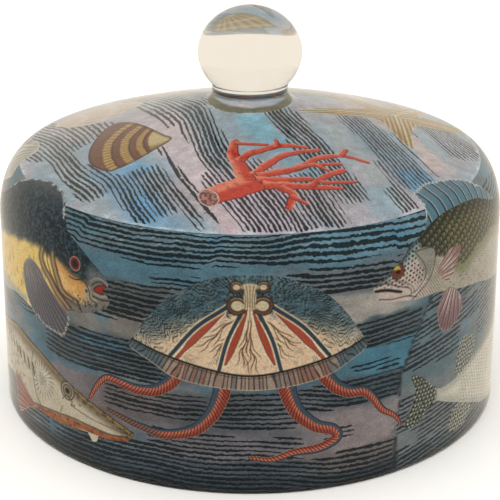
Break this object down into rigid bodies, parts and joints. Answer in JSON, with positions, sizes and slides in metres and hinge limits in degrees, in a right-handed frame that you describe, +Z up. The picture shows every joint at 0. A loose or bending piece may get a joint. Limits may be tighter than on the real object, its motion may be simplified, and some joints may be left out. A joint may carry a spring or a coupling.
{
  "type": "decoupage glass dome",
  "caption": "Clear glass dome cover with a solid ball knob, lined inside with engraved sea-life cut-outs over a stormy sea print and a sealed paper backing.",
  "frame": {"origin": "centre of the rim's resting plane", "axes": "+Z up through the knob, the front (jellyfish) faces -Y"},
  "size_m": [0.254, 0.254, 0.196],
  "materials": {
    "glass": "clear, fire-polished, faint ivory cast",
    "sea_print": "matte printed paper: engraved dark strokes over blue, teal and mauve-grey washes",
    "backing_paper": "matte varnished plain backing paper",
    "jellyfish_cutout": "matte hand-coloured engraving, cut out",
    "tench_cutout": "matte hand-coloured engraving, cut out",
    "pike_cutout": "matte hand-coloured engraving, cut out",
    "perch_cutout": "matte hand-coloured engraving, cut out",
    "spotted_fish_cutout": "matte hand-coloured engraving, cut out",
    "angelfish_cutout": "matte hand-coloured engraving, cut out",
    "seahorse_cutout": "matte hand-coloured engraving, cut out",
    "crab_cutout": "matte hand-coloured engraving, cut out",
    "limpet_cutout": "matte hand-coloured engraving, cut out",
    "coral_cutout": "matte hand-coloured engraving, cut out",
    "banded_shell_cutout": "matte hand-coloured engraving, cut out",
    "pale_shell_cutout": "matte hand-coloured engraving, cut out",
    "starfish_cutout": "matte hand-coloured engraving, cut out",
    "scallop_cutout": "matte hand-coloured engraving, cut out",
    "nautilus_cutout": "matte hand-coloured engraving, cut out"
  },
  "bodies": {
    "root": {"glass_dome": "glass", "glass_knob": "glass", "wall_print_1": "sea_print", "wall_print_2": "sea_print", "wall_print_3": "sea_print", "wall_print_4": "sea_print", "wall_print_5": "sea_print", "crown_print_1": "sea_print", "crown_print_2": "sea_print", "crown_print_3": "sea_print", "crown_backing": "backing_paper", "wall_backing": "backing_paper", "jellyfish_cutout": "jellyfish_cutout", "tench_cutout": "tench_cutout", "pike_cutout": "pike_cutout", "perch_cutout": "perch_cutout", "spotted_fish_cutout": "spotted_fish_cutout", "angelfish_cutout": "angelfish_cutout", "seahorse_cutout": "seahorse_cutout", "crab_cutout": "crab_cutout", "limpet_cutout": "limpet_cutout", "coral_cutout": "coral_cutout", "banded_shell_cutout": "banded_shell_cutout", "pale_shell_cutout": "pale_shell_cutout", "starfish_cutout": "starfish_cutout", "scallop_cutout": "scallop_cutout", "nautilus_cutout": "nautilus_cutout"}
  },
  "joints": []
}
